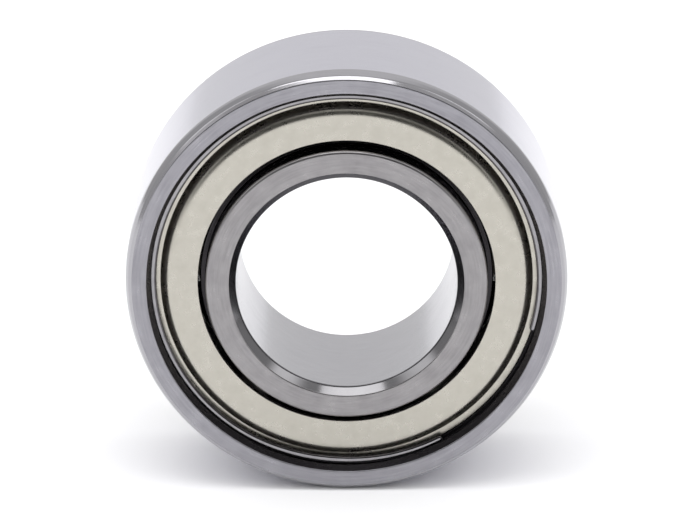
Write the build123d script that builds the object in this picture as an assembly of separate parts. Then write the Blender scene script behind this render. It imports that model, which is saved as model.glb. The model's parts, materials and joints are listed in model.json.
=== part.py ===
from build123d import *
import os
from math import cos, radians, sin, tan, atan2

# Shielded miniature ball bearing, inch size 1/4 x 1/2 x 3/16.
# Two hardened rings, ten balls in a two-piece pressed ribbon cage, and on each side a pressed
# steel shield that a sprung wire ring holds against a seat in the outer ring.
# The bearing turns about the Y axis. The origin is at its centre and the front faces -Y.
# All lengths are in millimetres. A "depth" is measured inwards from the face of the rings.

# Boundary sizes
bore_radius = 3.175
outside_radius = 6.35
width = 4.7625
half_width = width / 2

# Corner between each face and the outside: two turned facets, blended
corner_face_radius = 6.145  # where the face ends
corner_bend_radius = 6.255  # where the first facet meets the second
corner_bend_depth = 0.095
corner_end_depth = 0.33  # where the second facet meets the outside
corner_face_blend = 0.06
corner_bend_blend = 0.15
corner_end_blend = 0.50

# Corner between each face and the bore: a chamfer, blended into the bore
bore_chamfer = 0.215  # along the radius
bore_chamfer_depth = 0.24
bore_face_blend = 0.05
bore_end_blend = 0.12

# Balls and raceways
ball_count = 10
ball_radius = 1.5875 / 2
pitch_radius = (bore_radius + outside_radius) / 2
first_ball_angle = 90
race_radius = 2 * ball_radius * 0.52  # a groove a little wider than the ball
running_gap = 0.012  # between a ball and the bottom of each groove

# Outer ring
outer_land_radius = 5.28
lip_radius = 5.75  # inner edge of the flat face
lip_break = 0.04  # tiny bevel on that edge
neck_radius = 5.61  # narrowest part of the mouth, which keeps the wire ring in
neck_depth = 0.24
groove_radius = 5.70
groove_slope = 0.03  # how much deeper the groove's front wall is at its bottom
groove_end_depth = 0.57
shield_seat_radius = 5.58
seat_depth = 0.72

# Inner ring
inner_face_radius = 4.05
inner_edge_round = 0.10
inner_land_radius = 4.22
inner_step_depth = 0.75

# Shield
sheet = 0.15
shield_face_depth = 0.28
shield_inner_radius = 4.26
shield_bend_radius = 5.16  # where the raised face turns down
shield_flange_start = 5.345  # where the turned-down wall meets the flange
shield_outer_radius = 5.56
face_bend_inside = 0.15  # inside radius of the bend at the edge of the raised face
flange_bend_inside = 0.04
shield_edge_round = 0.03

# Wire snap ring
wire_thickness = 0.22
wire_corner = 0.07  # the wire is square with well rounded corners
wire_centre_radius = 5.575
wire_gap_angle = 44
wire_gap_centre = {"front": -38, "rear": 142}
wire_play = 0.005
wire_end_round = 0.05

# Ribbon cage
cage_sheet = 0.15
cage_inner_radius = 4.40
cage_outer_radius = 5.12
pocket_clearance = 0.05
tab_width = 0.40
tab_sheet = 0.11
tab_fold = 0.36
tab_fit = 0.02
tab_inset = 0.01  # how far a tab stays below the ribbon's edge
notch_overrun = 1.0  # how far the notch cutter reaches past that edge


def ball_angles():
    return [first_ball_angle - 360 / ball_count * n for n in range(ball_count)]


def web_angles():
    return [angle - 180 / ball_count for angle in ball_angles()]


def on_circle(radius, angle, y=0.0):
    """Point at that radius from the axis, the angle counted from +X towards +Z."""
    return (radius * cos(radians(angle)), y, radius * sin(radians(angle)))


def turned(section, angle=360):
    """Solid made by turning a section, drawn as (radius, y), about the bearing's axis."""
    return revolve(section, Axis.Y, angle)


def mirrored_section(front_points):
    """Section of a ring whose front half runs through (radius, depth) points."""
    front = [(radius, depth - half_width) for radius, depth in front_points]
    rear = [(radius, -y) for radius, y in reversed(front)]
    return make_face(Polyline(*front, *rear, close=True))


def rounded(section, radius, corner_radius, depth):
    """Rounds the front and the rear corner of a section at one radius and depth."""
    corners = [
        v for v in section.vertices()
        if abs(v.X - corner_radius) < 1e-6 and abs(half_width - abs(v.Y) - depth) < 1e-6
    ]
    return fillet(corners, radius)


def raceway(bottom_radius, side):
    """Torus that cuts a ball groove. side is 1 for the outer ring and -1 for the inner ring."""
    groove_centre_radius = bottom_radius - side * race_radius
    return Rot(X=90) * Torus(groove_centre_radius, race_radius)


def outer_ring():
    section = mirrored_section([
        (outside_radius, corner_end_depth),
        (corner_bend_radius, corner_bend_depth),
        (corner_face_radius, 0),
        (lip_radius, 0),
        (lip_radius - lip_break, lip_break),
        (neck_radius, neck_depth),
        (groove_radius, neck_depth + groove_slope),
        (groove_radius, groove_end_depth),
        (shield_seat_radius, groove_end_depth),
        (shield_seat_radius, seat_depth),
        (outer_land_radius, seat_depth),
    ])
    section = rounded(section, corner_face_blend, corner_face_radius, 0)
    section = rounded(section, corner_bend_blend, corner_bend_radius, corner_bend_depth)
    section = rounded(section, corner_end_blend, outside_radius, corner_end_depth)
    bottom = pitch_radius + ball_radius + running_gap
    return turned(section) - raceway(bottom, 1)


def inner_ring():
    section = mirrored_section([
        (bore_radius, bore_chamfer_depth),
        (bore_radius + bore_chamfer, 0),
        (inner_face_radius, 0),
        (inner_face_radius, inner_step_depth),
        (inner_land_radius, inner_step_depth),
    ])
    section = rounded(section, bore_face_blend, bore_radius + bore_chamfer, 0)
    section = rounded(section, bore_end_blend, bore_radius, bore_chamfer_depth)
    section = rounded(section, inner_edge_round, inner_face_radius, 0)
    bottom = pitch_radius - ball_radius - running_gap
    return turned(section) - raceway(bottom, -1)


def front_shield():
    """Pressed sheet: a raised face, a sloping wall and a flange that lies on the seat."""
    flange_depth = seat_depth - sheet
    slope = atan2(flange_depth - shield_face_depth, shield_flange_start - shield_bend_radius)
    inset = sheet * tan(slope / 2)
    outline = [
        (shield_inner_radius, shield_face_depth),
        (shield_bend_radius, shield_face_depth),
        (shield_flange_start, flange_depth),
        (shield_outer_radius, flange_depth),
        (shield_outer_radius, seat_depth),
        (shield_flange_start - inset, seat_depth),
        (shield_bend_radius - inset, shield_face_depth + sheet),
        (shield_inner_radius, shield_face_depth + sheet),
    ]
    section = make_face(Polyline(*[(r, d - half_width) for r, d in outline], close=True))
    rounds = (
        (outline[0], shield_edge_round),
        (outline[1], face_bend_inside + sheet),
        (outline[2], flange_bend_inside),
        (outline[5], flange_bend_inside + sheet),
        (outline[6], face_bend_inside),
    )
    for (r, d), radius in rounds:
        corner = section.vertices().sort_by_distance((r, d - half_width, 0))[0]
        section = fillet(corner, radius)
    return turned(section)


def snap_ring(side, gap_centre):
    """Wire bent to an open ring, cut square. side is -1 at the front, 1 at the rear."""
    y = side * (half_width - (seat_depth - sheet - wire_thickness / 2 - wire_play))
    start = gap_centre + wire_gap_angle / 2
    section = Pos(wire_centre_radius, y) * RectangleRounded(wire_thickness, wire_thickness, wire_corner)
    # turning about +Y runs from +X towards -Z, so the wire is laid back from its end
    wire = Rot(Y=-(start + 360 - wire_gap_angle)) * turned(section, 360 - wire_gap_angle)
    ends = [face for face in wire.faces() if face.geom_type == GeomType.PLANE and abs(face.normal_at().Y) < 0.5]
    return fillet([edge for face in ends for edge in face.edges()], wire_end_round)


def ring_plate(y_low, y_high):
    """Flat annulus of the cage's width."""
    height = y_high - y_low
    plate = Cylinder(cage_outer_radius, height) - Cylinder(cage_inner_radius, height)
    return Pos(0, (y_low + y_high) / 2, 0) * Rot(X=90) * plate


def spheres(radius):
    return [
        Pos(*on_circle(pitch_radius, angle)) * Sphere(radius) for angle in ball_angles()
    ]


def web_box(radius_low, radius_high, y_low, y_high, box_width, angle):
    """Box on one web of the cage, its length along the radius."""
    size = Box(radius_high - radius_low, y_high - y_low, box_width)
    place = Pos((radius_low + radius_high) / 2, (y_low + y_high) / 2, 0)
    return Rot(Y=-angle) * place * size


def half_cage(side):
    """Ribbon with a spherical pocket round each ball. side is -1 for the front half."""
    pocket_inside = ball_radius + pocket_clearance
    pocket_outside = pocket_inside + cage_sheet
    low, high = sorted((0, side * cage_sheet))
    ribbon = ring_plate(low, high)
    room = ring_plate(*sorted((0, side * 2 * pocket_outside)))
    for shell in spheres(pocket_outside):
        ribbon += shell & room
    for hollow in spheres(pocket_inside):
        ribbon -= hollow
    return ribbon


def cage_front():
    """Front half, with a tab on each web folded over the rear half."""
    ribbon = half_cage(-1)
    tab_top = cage_outer_radius - tab_inset
    for angle in web_angles():
        ribbon += web_box(tab_top - tab_sheet, tab_top, -cage_sheet, cage_sheet, tab_width, angle)
        ribbon += web_box(
            tab_top - tab_fold, tab_top, cage_sheet, cage_sheet + tab_sheet, tab_width, angle
        )
    return ribbon


def cage_rear():
    """Rear half, with a notch in the edge of each web for a tab."""
    ribbon = half_cage(1)
    notch_bottom = cage_outer_radius - tab_inset - tab_sheet - tab_fit
    for angle in web_angles():
        ribbon -= web_box(
            notch_bottom, cage_outer_radius + notch_overrun, -cage_sheet, 2 * cage_sheet,
            tab_width + 2 * tab_fit, angle,
        )
    return ribbon


def save(name, shape):
    shape.label = name
    export_step(shape, f"parts/{name}.step")


def main():
    os.makedirs("parts", exist_ok=True)
    save("outer_ring", outer_ring())
    save("inner_ring", inner_ring())
    shield = front_shield()
    save("front_shield", shield)
    save("rear_shield", mirror(shield, about=Plane.XZ))
    save("front_snap_ring", snap_ring(-1, wire_gap_centre["front"]))
    save("rear_snap_ring", snap_ring(1, wire_gap_centre["rear"]))
    save("cage_front", cage_front())
    save("cage_rear", cage_rear())
    for number, ball in enumerate(spheres(ball_radius), start=1):
        save(f"ball_{number:02d}", ball)


main()
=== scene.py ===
import json
import bpy
import numpy as np
from mathutils import Matrix, Vector


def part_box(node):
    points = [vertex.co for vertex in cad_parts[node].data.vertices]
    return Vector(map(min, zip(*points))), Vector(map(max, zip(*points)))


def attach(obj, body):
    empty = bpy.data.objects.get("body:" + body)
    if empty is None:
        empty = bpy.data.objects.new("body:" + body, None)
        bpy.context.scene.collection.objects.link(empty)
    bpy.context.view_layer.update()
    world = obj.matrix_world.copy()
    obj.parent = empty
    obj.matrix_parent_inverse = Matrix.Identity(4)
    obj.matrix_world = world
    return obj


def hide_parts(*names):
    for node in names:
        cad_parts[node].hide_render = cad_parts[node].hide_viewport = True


# Shielded miniature ball bearing. Lengths in the dictionaries are in millimetres.
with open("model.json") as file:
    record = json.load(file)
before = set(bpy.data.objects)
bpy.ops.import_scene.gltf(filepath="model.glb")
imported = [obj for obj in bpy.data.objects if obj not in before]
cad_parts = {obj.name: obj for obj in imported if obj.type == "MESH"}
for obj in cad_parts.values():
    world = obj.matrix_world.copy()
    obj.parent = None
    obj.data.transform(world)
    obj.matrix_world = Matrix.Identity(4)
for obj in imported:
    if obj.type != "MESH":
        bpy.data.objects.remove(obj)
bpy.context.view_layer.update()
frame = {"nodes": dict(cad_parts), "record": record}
mm = 0.001
fullTurn = 2 * np.pi
around = 384  # steps of every turned surface

# the sizes that the frame holds
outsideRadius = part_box("outer_ring")[1][0] / mm
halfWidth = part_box("outer_ring")[1][1] / mm
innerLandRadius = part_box("inner_ring")[1][0] / mm
mounts = {m["name"]: m for m in frame["record"]["mounts"]}
boreRadius = mounts["shaft_bore"]["dims"]["r_mm"]
ballLow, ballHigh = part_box("ball_01")
ballRadius = (ballHigh[0] - ballLow[0]) / 2 / mm
pitchRadius = (ballHigh[2] + ballLow[2]) / 2 / mm
ballNames = sorted(name for name in frame["nodes"] if name.startswith("ball_"))
print("frame loaded:", len(frame["nodes"]), "nodes")


def makeMesh(name, points, faces, finishOfFace, materials):
    # points in mm, faces as rows of corner numbers, finishOfFace picks a material for each face
    mesh = bpy.data.meshes.new(name)
    faces = np.asarray(faces, dtype=np.int32)
    mesh.vertices.add(len(points))
    mesh.vertices.foreach_set("co", (np.asarray(points) * mm).astype(np.float32).ravel())
    mesh.loops.add(faces.size)
    mesh.loops.foreach_set("vertex_index", faces.ravel())
    mesh.polygons.add(len(faces))
    mesh.polygons.foreach_set("loop_start", np.arange(0, faces.size, faces.shape[1], dtype=np.int32))
    for material in materials:
        mesh.materials.append(material)
    mesh.polygons.foreach_set("material_index", np.asarray(finishOfFace, dtype=np.int32))
    mesh.update(calc_edges=True)
    mesh.shade_smooth()
    piece = bpy.data.objects.new(name, mesh)
    bpy.context.collection.objects.link(piece)
    return piece


def roundedOutline(corners, steps=8, support=0.012):
    # A closed outline from corners (radius, y, rounding, finish of the side after it, and of the
    # rounding itself when that differs).
    # At each corner a circle of that rounding touches both sides: it starts and ends
    # rounding * tan(turn / 2) from the corner, and its centre is on the bisector.
    # One more point stands just before and after each arc, so that the sides shade flat.
    places = np.array([c[:2] for c in corners], float)
    ahead = np.roll(places, -1, axis=0) - places
    ahead /= np.linalg.norm(ahead, axis=1, keepdims=True)
    behind = np.roll(ahead, 1, axis=0)
    outline, finishes = [], []
    for number, corner in enumerate(corners):
        into, out, size = behind[number], ahead[number], corner[2]
        if size == 0:
            outline.append(places[number])
            finishes.append(corner[3])
            continue
        turn = np.arctan2(into[0] * out[1] - into[1] * out[0], into @ out)
        reach = size * np.tan(abs(turn) / 2)
        side = np.array([-into[1], into[0]]) * np.sign(turn)
        centre = places[number] - into * reach + side * size
        angle = np.linspace(0, turn, steps + 1)[:, None]
        arm = -side * size
        arc = centre + arm * np.cos(angle) + np.array([-arm[1], arm[0]]) * np.sin(angle)
        outline += [arc[0] - into * support, *arc, arc[-1] + out * support]
        finishes += [corners[number - 1][3]] + [corner[-1]] * steps + [corner[3]] * 2
    return np.array(outline), finishes


def raceArc(bottom, side, land, steps=24):
    # Half circle of a ball groove seen in section: its centre lies race radius from the bottom
    # towards the balls, and it runs between the two points where it meets the land.
    raceRadius = 2 * ballRadius * rings["raceRatio"]
    centre = bottom - side * raceRadius
    reach = np.arccos((land - centre) * side / raceRadius)
    angle = np.linspace(-reach, reach, steps + 1)
    return np.stack([centre + side * raceRadius * np.cos(angle), raceRadius * np.sin(angle)], axis=1)


def turned(name, outline, finishes, materials):
    # Each outline point (radius, y) is carried round the Y axis:
    # x = radius * cos(angle), y, z = radius * sin(angle), closed both ways like a torus.
    radii, heights = outline.T
    area = np.sum(radii * np.roll(heights, -1) - np.roll(radii, -1) * heights)
    if area > 0:  # so that the faces look outwards
        outline = outline[::-1]
        finishes = finishes[-2::-1] + finishes[-1:]
    angle = np.linspace(0, fullTurn, around, endpoint=False)[:, None]
    radius, y = outline[:, 0][None], outline[:, 1][None]
    points = np.stack([radius * np.cos(angle), y + 0 * angle, radius * np.sin(angle)], axis=2)
    ring = np.arange(around)[:, None]
    step = np.arange(len(outline))[None]
    nextRing, nextStep = (ring + 1) % around, (step + 1) % len(outline)
    count = len(outline)
    here, beyond = ring * count, nextRing * count
    corners = [here + step, here + nextStep, beyond + nextStep, beyond + step]
    faces = np.stack([c + 0 * ring for c in corners], axis=2).reshape(-1, 4)
    names = list(materials)
    finishOfFace = np.tile([names.index(f) for f in finishes], around)
    return makeMesh(name, points.reshape(-1, 3), faces, finishOfFace, list(materials.values()))


def ringCorners(front, race, outerFinish):
    # The front half's corners, the groove, then the front half again, mirrored in y and run backwards.
    frontHalf = [(r, depth - halfWidth, *rest) for r, depth, *rest in front]
    groove = [(r, y, 0, "race") for r, y in race]
    sides = [outerFinish] + [corner[3] for corner in front[:-1]]
    rearHalf = [
        (corner[0], halfWidth - corner[1], corner[2], side, corner[-1])
        for corner, side in zip(front, sides)
    ]
    return frontHalf + groove + rearHalf[::-1]


def node(tree, kind, inputs=(), **settings):
    # one shader node; inputs maps a socket to a value or to another node's output
    made = tree.nodes.new(kind)
    for key, value in settings.items():
        setattr(made, key, value)
    for key, value in dict(inputs).items():
        if isinstance(value, bpy.types.NodeSocket):
            tree.links.new(value, made.inputs[key])
        else:
            made.inputs[key].default_value = value
    return made


def maths(tree, operation, a, b=0.0, clamp=False):
    return node(tree, "ShaderNodeMath", {0: a, 1: b}, operation=operation, use_clamp=clamp).outputs[0]


def mixColours(tree, share, low, high):
    made = node(tree, "ShaderNodeMix", {0: share}, data_type="RGBA")
    for socket, value in ((6, low), (7, high)):
        if isinstance(value, bpy.types.NodeSocket):
            tree.links.new(value, made.inputs[socket])
        else:
            made.inputs[socket].default_value = (*value, 1)
    return made.outputs[2]


def noise(tree, vector, scale, detail=2.0, rough=0.5):
    inputs = {"Vector": vector, "Scale": scale, "Detail": detail, "Roughness": rough}
    return node(tree, "ShaderNodeTexNoise", inputs).outputs["Fac"]


def mapRange(tree, value, low, high, newLow=0.0, newHigh=1.0):
    inputs = {"Value": value, "From Min": low, "From Max": high, "To Min": newLow, "To Max": newHigh}
    return node(tree, "ShaderNodeMapRange", inputs, interpolation_type="SMOOTHSTEP").outputs["Result"]


def roundTheAxis(tree, along, across):
    # A vector that changes slowly round the axis and fast across it, so that noise on it makes
    # grinding lines: (x / radius * along, (radius + y) * across, z / radius * along)
    place = node(tree, "ShaderNodeTexCoord").outputs["Object"]
    x, y, z = node(tree, "ShaderNodeSeparateXYZ", {0: place}).outputs
    squares = maths(tree, "ADD", maths(tree, "MULTIPLY", x, x), maths(tree, "MULTIPLY", z, z))
    radius = maths(tree, "SQRT", squares)
    turnX = maths(tree, "MULTIPLY", maths(tree, "DIVIDE", x, radius), along)
    turnZ = maths(tree, "MULTIPLY", maths(tree, "DIVIDE", z, radius), along)
    steps = maths(tree, "MULTIPLY", maths(tree, "ADD", radius, y), across / mm)
    vector = node(tree, "ShaderNodeCombineXYZ", {0: turnX, 1: steps, 2: turnZ}).outputs[0]
    return vector, place


finishLooks = {
    # tones: the darker and the lighter colour; lines: how many grinding lines to a millimetre;
    # arc: how often a line changes in a turn; streak and cloud: how much each moves the colour
    "ground": dict(tones=((0.276, 0.270, 0.295), (0.351, 0.345, 0.372)), rough=(0.26, 0.38), lines=16,
                   arc=5, streak=1.6, cloud=1.0, cloudSize=0.5, bump=0.7, metallic=1.0),
    "innerGround": dict(tones=((0.266, 0.255, 0.263), (0.340, 0.329, 0.333)), rough=(0.26, 0.38), lines=16,
                        arc=5, streak=1.4, cloud=1.2, cloudSize=0.5, bump=0.7, metallic=1.0),
    "outside": dict(tones=((0.494, 0.484, 0.546), (0.570, 0.560, 0.622)), rough=(0.12, 0.20), lines=12,
                    arc=4, streak=0.7, cloud=0.3, cloudSize=1.5, bump=0.2, metallic=1.0),
    "bore": dict(tones=((0.385, 0.38, 0.403), (0.46, 0.455, 0.478)), rough=(0.16, 0.24), lines=12,
                 arc=4, streak=0.7, cloud=0.4, cloudSize=1.2, bump=0.2, metallic=1.0),
    "edge": dict(tones=((0.342, 0.337, 0.358), (0.437, 0.429, 0.449)), rough=(0.10, 0.16), lines=10,
                 arc=6, streak=0.5, cloud=0.4, cloudSize=0.6, bump=0.2, metallic=1.0),
    # painted shade: a darker copy of the edge finish for the bore chamfer, standing in for the light lost
    # between the bore's walls
    "boreEdge": dict(tones=((0.175, 0.171, 0.179), (0.24, 0.236, 0.244)), rough=(0.10, 0.16), lines=10,
                     arc=6, streak=0.5, cloud=0.4, cloudSize=0.6, bump=0.2, metallic=1.0),
    # painted shade: the land lies deep in the narrow gap between shield and inner ring, and these near-black
    # tones stand in for the shade there
    "land": dict(tones=((0.023, 0.021, 0.023), (0.050, 0.047, 0.050)), rough=(0.22, 0.32), lines=14,
                 arc=5, streak=0.8, cloud=0.5, cloudSize=0.5, bump=0.3, metallic=1.0),
    "scaled": dict(tones=((0.024, 0.022, 0.026), (0.06, 0.056, 0.062)), rough=(0.22, 0.34), lines=20,
                   arc=6, streak=0.9, cloud=0.6, cloudSize=0.4, bump=0.5, metallic=0.9),
    "race": dict(tones=((0.55, 0.55, 0.56), (0.62, 0.62, 0.63)), rough=(0.06, 0.10), lines=14,
                 arc=3, streak=0.6, cloud=0.3, cloudSize=1.0, bump=0.1, metallic=1.0),
    "shield": dict(tones=((0.456, 0.436, 0.383), (0.521, 0.501, 0.448)), rough=(0.24, 0.34), lines=5,
                   arc=12, streak=0.3, cloud=1.2, cloudSize=0.35, bump=0.6, metallic=1.0),
    "wire": dict(tones=((0.06, 0.056, 0.060), (0.13, 0.124, 0.128)), rough=(0.14, 0.22), lines=9,
                 arc=8, streak=0.6, cloud=0.8, cloudSize=0.3, bump=0.2, metallic=1.0),
    # painted highlight: a lighter copy of the wire finish for the strip along the wire's face, standing in
    # for a reflection
    "rubbedWire": dict(tones=((0.22, 0.214, 0.226), (0.38, 0.372, 0.385)), rough=(0.14, 0.22), lines=9,
                       arc=8, streak=0.6, cloud=1.0, cloudSize=0.3, bump=0.2, metallic=1.0),
    "ball": dict(tones=((0.60, 0.60, 0.61), (0.66, 0.66, 0.67)), rough=(0.04, 0.07), lines=6,
                 arc=3, streak=0.2, cloud=0.5, cloudSize=0.5, bump=0.0, metallic=1.0),
    "cage": dict(tones=((0.30, 0.29, 0.27), (0.40, 0.39, 0.36)), rough=(0.30, 0.42), lines=8,
                 arc=8, streak=0.5, cloud=0.8, cloudSize=0.3, bump=0.4, metallic=1.0),
}


def makeFinish(name):
    look = finishLooks[name]
    material = bpy.data.materials.new(name)
    material.use_nodes = True
    tree = material.node_tree
    shader = tree.nodes["Principled BSDF"]
    vector, place = roundTheAxis(tree, look["arc"], look["lines"])
    streak = noise(tree, vector, 1.0, 3.0, 0.6)
    cloud = noise(tree, place, 1 / (look["cloudSize"] * mm), 3.0, 0.6)
    moved = maths(tree, "MULTIPLY", maths(tree, "SUBTRACT", streak, 0.5), look["streak"])
    clouded = maths(tree, "MULTIPLY_ADD", maths(tree, "SUBTRACT", cloud, 0.5), look["cloud"])
    tree.links.new(moved, clouded.node.inputs[2])
    share = maths(tree, "ADD", clouded, 0.5, clamp=True)
    tree.links.new(mixColours(tree, share, *look["tones"]), shader.inputs["Base Color"])
    smooth, rough = look["rough"]
    tree.links.new(mapRange(tree, share, 0.0, 1.0, rough, smooth), shader.inputs["Roughness"])
    shader.inputs["Metallic"].default_value = look["metallic"]
    if look["bump"]:
        heights = maths(tree, "ADD", streak, maths(tree, "MULTIPLY", cloud, 0.4))
        inputs = {"Strength": look["bump"], "Distance": 0.002 * mm, "Height": heights}
        bump = node(tree, "ShaderNodeBump", inputs)
        tree.links.new(bump.outputs["Normal"], shader.inputs["Normal"])
    return material


materials = {name: makeFinish(name) for name in finishLooks}
print("finishes made:", len(materials))


rings = dict(
    raceRatio=0.52, gap=0.012,
    sharp=0.012, lipRound=0.04, neckRound=0.02, landRound=0.03, stepRound=0.03,
    faceEdge=6.145, bend=6.255, bendDepth=0.095, cornerEnd=0.33,
    faceBlend=0.06, bendBlend=0.15, endBlend=0.50,
    outerLand=5.28, lip=5.75, neck=5.61, neckDepth=0.24, groove=5.70, grooveStart=0.27, grooveEnd=0.57,
    seat=5.58, seatDepth=0.72, innerFace=4.05, innerFaceRound=0.10, innerStep=0.75,
    boreChamfer=0.215, boreChamferDepth=0.24, boreFaceBlend=0.05, boreEndBlend=0.12,
)


def outerRing():
    # half of the ring's section from the outside wall inwards, as (radius, depth, rounding, finish)
    sharp = rings["sharp"]
    front = [
        (outsideRadius, rings["cornerEnd"], rings["endBlend"], "edge"),
        (rings["bend"], rings["bendDepth"], rings["bendBlend"], "edge"),
        (rings["faceEdge"], 0, rings["faceBlend"], "ground"),
        (rings["lip"], 0, rings["lipRound"], "scaled", "ground"),
        (rings["neck"], rings["neckDepth"], rings["neckRound"], "scaled"),
        (rings["groove"], rings["grooveStart"], sharp, "scaled"),
        (rings["groove"], rings["grooveEnd"], sharp, "scaled"),
        (rings["seat"], rings["grooveEnd"], sharp, "scaled"),
        (rings["seat"], rings["seatDepth"], sharp, "scaled"),
        (rings["outerLand"], rings["seatDepth"], rings["landRound"], "scaled"),
    ]
    race = raceArc(pitchRadius + ballRadius + rings["gap"], 1, rings["outerLand"])
    outline, finishes = roundedOutline(ringCorners(front, race, "outside"))
    used = {name: materials[name] for name in ("outside", "ground", "edge", "scaled", "race")}
    return turned("outerRing", outline, finishes, used)


def innerRing():
    # half of the ring's section from the bore outwards, as (radius, depth, rounding, finish)
    front = [
        # the bore chamfer takes the darker copy of the edge finish, which is painted shade
        (boreRadius, rings["boreChamferDepth"], rings["boreEndBlend"], "boreEdge"),
        (boreRadius + rings["boreChamfer"], 0, rings["boreFaceBlend"], "innerGround"),
        # the land and step inside the gap take the near-black land finish, which is painted shade
        (rings["innerFace"], 0, rings["innerFaceRound"], "land", "innerGround"),
        (rings["innerFace"], rings["innerStep"], rings["stepRound"], "land"),
        (innerLandRadius, rings["innerStep"], rings["stepRound"], "land"),
    ]
    race = raceArc(pitchRadius - ballRadius - rings["gap"], -1, innerLandRadius)
    outline, finishes = roundedOutline(ringCorners(front, race, "bore"))
    used = {name: materials[name] for name in ("bore", "innerGround", "boreEdge", "land", "race")}
    return turned("innerRing", outline, finishes, used)


shieldSizes = dict(
    sheet=0.15, faceDepth=0.28, hole=4.26, bendRadius=5.16, flangeStart=5.345, flangeDepth=0.57,
    edge=5.56, faceBend=0.15, flangeBend=0.04, holeRound=0.03, cutRound=0.02,
)


def shield(name, side):
    # The pressed sheet's section: both faces are parallel, a sheet's thickness apart, so the back's
    # bends stand sheet * tan(slope / 2) further in than the front's.
    sizes = shieldSizes
    sheet, face, flange = sizes["sheet"], sizes["faceDepth"], sizes["flangeDepth"]
    slope = np.arctan2(flange - face, sizes["flangeStart"] - sizes["bendRadius"])
    inset = sheet * np.tan(slope / 2)
    faceBend, flangeBend = sizes["faceBend"], sizes["flangeBend"]
    section = [
        (sizes["hole"], face, sizes["holeRound"]),
        (sizes["bendRadius"], face, faceBend + sheet),
        (sizes["flangeStart"], flange, flangeBend),
        (sizes["edge"], flange, sizes["cutRound"]),
        (sizes["edge"], flange + sheet, sizes["cutRound"]),
        (sizes["flangeStart"] - inset, flange + sheet, flangeBend + sheet),
        (sizes["bendRadius"] - inset, face + sheet, faceBend),
        (sizes["hole"], face + sheet, sizes["cutRound"]),
    ]
    corners = [(r, side * (halfWidth - depth), size, "shield") for r, depth, size in section]
    outline, finishes = roundedOutline(corners)
    return turned(name, outline, finishes, {"shield": materials["shield"]})


wireSizes = dict(
    thickness=0.22, centre=5.575, depth=0.455, opening=44, frontMiddle=-38, rearMiddle=142, endRound=0.09,
    squareness=3.4,  # 2 is a round wire, more is squarer
    rubbed=(-0.30, 0.60),  # painted highlight: the lighter strip along its face, standing in for a reflection; from and to, in the section's parameter
    # where the wire strays from its circle: degrees before its end, width in degrees, and how far
    strays=((37, 20, -0.045), (0, 8, 0.015)),
)


def snapRing(name, side, middle):
    # A wire carried round the axis. Its section at parameter v is the rounded square
    # (a * sgn(sin v) * |sin v| ** (2 / n), -a * sgn(cos v) * |cos v| ** (2 / n)), which stands at
    # each angle u on the ring, at radius centre + the sum of size * exp(-((u - at) / width) ** 2).
    # Near each end a = thickness / 2 - endRound * (1 - sqrt(1 - (1 - s / endRound) ** 2)), where s
    # is the way left to the end, so the edge of the cut end is rounded.
    sizes = wireSizes
    halfOpening = np.radians(sizes["opening"]) / 2
    length = (fullTurn - 2 * halfOpening) * sizes["centre"]
    endRound = sizes["endRound"]
    eased = endRound * (1 - np.cos(np.linspace(0, np.pi / 2, 8)))
    between = np.linspace(endRound, length - endRound, 480)[1:-1]
    along = np.concatenate([[0], eased, between, length - eased[::-1], [length]])
    toEnd = np.minimum(along, length - along)
    lost = endRound * (1 - np.sqrt(1 - np.clip(1 - toEnd / endRound, 0, 1) ** 2))
    half = sizes["thickness"] / 2 - lost
    half[[0, -1]] = 0
    beforeEnd = np.degrees((length - along) / sizes["centre"])
    centre = sizes["centre"] + sum(
        size * np.exp(-(((beforeEnd - at) / width) ** 2)) for at, width, size in sizes["strays"]
    )
    angle = (np.radians(middle) + halfOpening + along / sizes["centre"])[:, None]
    sides = 48
    turn = np.linspace(0, fullTurn, sides, endpoint=False)
    power = 2 / sizes["squareness"]
    outward = np.sign(np.sin(turn)) * np.abs(np.sin(turn)) ** power
    forward = np.sign(np.cos(turn)) * np.abs(np.cos(turn)) ** power
    radius = centre[:, None] + half[:, None] * outward
    y = side * (halfWidth - sizes["depth"] + half[:, None] * forward)
    points = np.stack([radius * np.cos(angle), y, radius * np.sin(angle)], axis=2)
    middleOfSide = (turn + fullTurn / sides / 2 + np.pi) % fullTurn - np.pi
    # sides inside the painted highlight strip take the lighter wire finish
    rubbed = ((middleOfSide > sizes["rubbed"][0]) & (middleOfSide < sizes["rubbed"][1])).astype(int)
    return tube(name, points, [materials["wire"], materials["rubbedWire"]], rubbed)


def tube(name, points, used, finishOfSide):
    # Rings of points joined in rows; the first and the last ring, which have no size, are one point
    # each. finishOfSide picks a material for each side of a ring.
    count, sides = points.shape[:2]
    body = points[1:-1].reshape(-1, 3)
    places = np.concatenate([points[0, :1], body, points[-1, :1]])
    row = np.arange(count - 3)[:, None] * sides + 1
    step = np.arange(sides)[None]
    following = (step + 1) % sides
    quads = np.stack([row + step, row + sides + step, row + sides + following, row + following], axis=2)
    first = np.stack([0 * step[0], step[0] + 1, following[0] + 1], axis=1)
    end = len(places) - 1
    base = end - sides
    last = np.stack([base + step[0], end + 0 * step[0], base + following[0]], axis=1)
    mesh = bpy.data.meshes.new(name)
    faces = first.tolist() + quads.reshape(-1, 4).tolist() + last.tolist()
    mesh.from_pydata((places * mm).tolist(), [], faces)
    for material in used:
        mesh.materials.append(material)
    mesh.polygons.foreach_set("material_index", np.tile(finishOfSide, count - 1))
    mesh.update(calc_edges=True)
    mesh.shade_smooth()
    piece = bpy.data.objects.new(name, mesh)
    bpy.context.collection.objects.link(piece)
    return piece


def ball(name, place):
    # latitude u and longitude v: (cos u cos v, sin u, cos u sin v) * radius
    u = np.linspace(-np.pi / 2, np.pi / 2, 33)[:, None]
    v = np.linspace(0, fullTurn, 64, endpoint=False)[None]
    flat = np.cos(u)
    flat[[0, -1]] = 0
    points = np.stack([flat * np.cos(v), np.sin(u) + 0 * v, flat * np.sin(v)], axis=2) * ballRadius
    return tube(name, points + np.array(place), [materials["ball"]], np.zeros(64, int))


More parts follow.
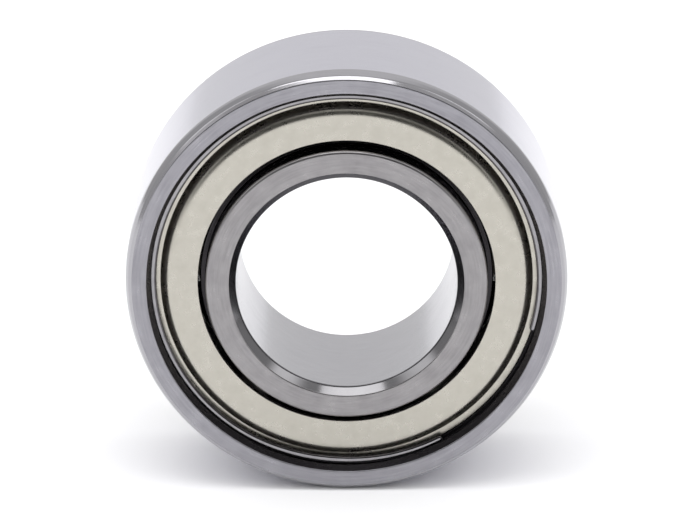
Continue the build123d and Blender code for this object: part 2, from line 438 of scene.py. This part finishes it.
def outward(piece):
    # turn the piece's faces outwards if its volume comes out negative
    mesh = piece.data
    mesh.calc_loop_triangles()
    corners = np.empty(len(mesh.vertices) * 3)
    mesh.vertices.foreach_get("co", corners)
    triangles = np.empty(len(mesh.loop_triangles) * 3, dtype=np.int32)
    mesh.loop_triangles.foreach_get("vertices", triangles)
    a, b, c = corners.reshape(-1, 3)[triangles.reshape(-1, 3)].transpose(1, 0, 2)
    if np.sum(a * np.cross(b, c)) < 0:
        mesh.flip_normals()
    return piece


def place(piece, body, nodeName, slot):
    outward(piece)
    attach(piece, body)
    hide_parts(nodeName)


place(outerRing(), "outer", "outer_ring", "outer_ring")
place(innerRing(), "inner", "inner_ring", "inner_ring")
place(shield("frontShield", -1), "outer", "front_shield", "front_shield")
place(shield("rearShield", 1), "outer", "rear_shield", "rear_shield")
place(snapRing("frontSnapRing", -1, wireSizes["frontMiddle"]), "outer", "front_snap_ring", "front_snap_ring")
place(snapRing("rearSnapRing", 1, wireSizes["rearMiddle"]), "outer", "rear_snap_ring", "rear_snap_ring")
for number, name in enumerate(ballNames, start=1):
    low, high = (np.array(corner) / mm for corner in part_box(name))
    place(ball(f"ball{number:02d}", (low + high) / 2), name, name, "balls")
for name in ("cage_front", "cage_rear"):
    half = frame["nodes"][name]
    half.data.materials.clear()
    half.data.materials.append(materials["cage"])
print("pieces made")


stageLooks = dict(
    floorTone=(0.93, 0.93, 0.94), floorSize=3000, sky=0.62,
    # Soft-edged parts of the studio walls: azimuth from the front (0) to the right (90) and its half
    # width, elevation from and to, the softness of the edges, all in degrees, and the brightness.
    walls=dict(
        behind=(180, 40, -90, 75, 14, 0.90),
        behindAbove=(180, 28, 40, 90, 12, 1.00),
        zenith=(0, 180, 74, 90, 6, 0.80),
        darkRoom=(0, 46, -12, 46, 8, 0.05),
        rightStrip=(50, 8, 36, 62, 4, 0.70),
        farRight=(74, 6, 36, 62, 9, 2.2),
        leftStrip=(-64, 7, 18, 40, 4, 0.85),
        farLeft=(-78, 5, 26, 56, 9, 2.0),
    ),
)
lights = {
    # place in mm, width and height in mm, brightness as the light's own radiance, and whether metal
    # reflects it
    "overheadLight": dict(place=(-11, -47, 140), size=(110, 46), shine=2.5, shown=True),
    "floorLight": dict(place=(0, -500, 900), size=(2200, 2200), shine=1.08, shown=False),
}
cameraLooks = dict(place=(0, -112.67, 39.71), tilt=-19.46, turn=0.0356, lens=211.15)


def makeFloor():
    half = stageLooks["floorSize"] / 2
    corners = np.array([[-half, -half, 0], [half, -half, 0], [half, half, 0], [-half, half, 0]])
    corners[:, 2] = -outsideRadius
    material = bpy.data.materials.new("paleFloor")
    material.use_nodes = True
    shader = material.node_tree.nodes["Principled BSDF"]
    shader.inputs["Base Color"].default_value = (*stageLooks["floorTone"], 1)
    shader.inputs["Roughness"].default_value = 0.9
    shader.inputs["Specular IOR Level"].default_value = 0.0
    makeMesh("floor", corners, [[0, 1, 2, 3]], [0], [material])


def wallShare(tree, azimuthLine, height, wall):
    # 1 inside the wall and 0 outside it: azimuth is compared through its cosine, height through its sine
    azimuth, halfWidth, low, high, soft = np.radians(wall[:5])
    x, y = azimuthLine
    facing = maths(tree, "ADD", maths(tree, "MULTIPLY", x, float(np.sin(azimuth))),
                   maths(tree, "MULTIPLY", y, float(-np.cos(azimuth))))
    near, far = max(halfWidth - soft / 2, 0), min(halfWidth + soft / 2, np.pi)
    share = 1.0 if halfWidth >= np.pi else mapRange(tree, facing, float(np.cos(far)), float(np.cos(near)))
    for edge, turn in ((low, 1), (high, -1)):
        if abs(edge) >= np.pi / 2:
            continue
        bottom, top = np.sin(edge - soft / 2), np.sin(edge + soft / 2)
        part = mapRange(tree, height, float(bottom), float(top), *((0.0, 1.0) if turn > 0 else (1.0, 0.0)))
        share = maths(tree, "MULTIPLY", share, part)
    return share


def makeWorld():
    # A studio seen all round: each wall is painted over the ones before it.
    world = bpy.data.worlds.new("studio")
    world.use_nodes = True
    tree = world.node_tree
    direction = node(tree, "ShaderNodeTexCoord").outputs["Generated"]
    x, y, z = node(tree, "ShaderNodeSeparateXYZ", {0: direction}).outputs
    squares = maths(tree, "ADD", maths(tree, "MULTIPLY", x, x), maths(tree, "MULTIPLY", y, y))
    flat = maths(tree, "SQRT", squares)
    line = (maths(tree, "DIVIDE", x, flat), maths(tree, "DIVIDE", y, flat))
    brightness = stageLooks["sky"]
    for wall in stageLooks["walls"].values():
        share = wallShare(tree, line, z, wall)
        inputs = {0: share, 2: brightness, 3: wall[5]}
        brightness = node(tree, "ShaderNodeMix", inputs).outputs[0]
    background = tree.nodes["Background"]
    tree.links.new(brightness, background.inputs["Strength"])
    background.inputs["Color"].default_value = (1, 1, 1, 1)
    bpy.context.scene.world = world


def makeLights():
    for name, light in lights.items():
        data = bpy.data.lights.new(name, "AREA")
        data.shape = "RECTANGLE"
        data.size, data.size_y = (length * mm for length in light["size"])
        data.energy = light["shine"] * np.pi * data.size * data.size_y
        lamp = bpy.data.objects.new(name, data)
        where = Vector(light["place"]) * mm
        turn = (-where).to_track_quat("-Z", "Y").to_matrix().to_4x4()
        lamp.matrix_world = Matrix.Translation(where) @ turn
        lamp.visible_camera = False
        lamp.visible_glossy = light["shown"]
        bpy.context.collection.objects.link(lamp)


def makeCamera():
    data = bpy.data.cameras.new("camera")
    data.lens = cameraLooks["lens"]
    data.sensor_width = 36
    data.sensor_fit = "HORIZONTAL"
    data.clip_start, data.clip_end = 0.001, 10
    camera = bpy.data.objects.new("camera", data)
    tilt, turn = np.radians([cameraLooks["tilt"], cameraLooks["turn"]])
    aim = Vector((np.cos(tilt) * np.sin(turn), np.cos(tilt) * np.cos(turn), np.sin(tilt)))
    turn = aim.to_track_quat("-Z", "Y").to_matrix().to_4x4()
    camera.matrix_world = Matrix.Translation(Vector(cameraLooks["place"]) * mm) @ turn
    bpy.context.collection.objects.link(camera)
    bpy.context.scene.camera = camera


makeFloor()
makeWorld()
makeLights()
makeCamera()
bpy.context.scene.view_settings.view_transform = "Standard"
print("stage ready")
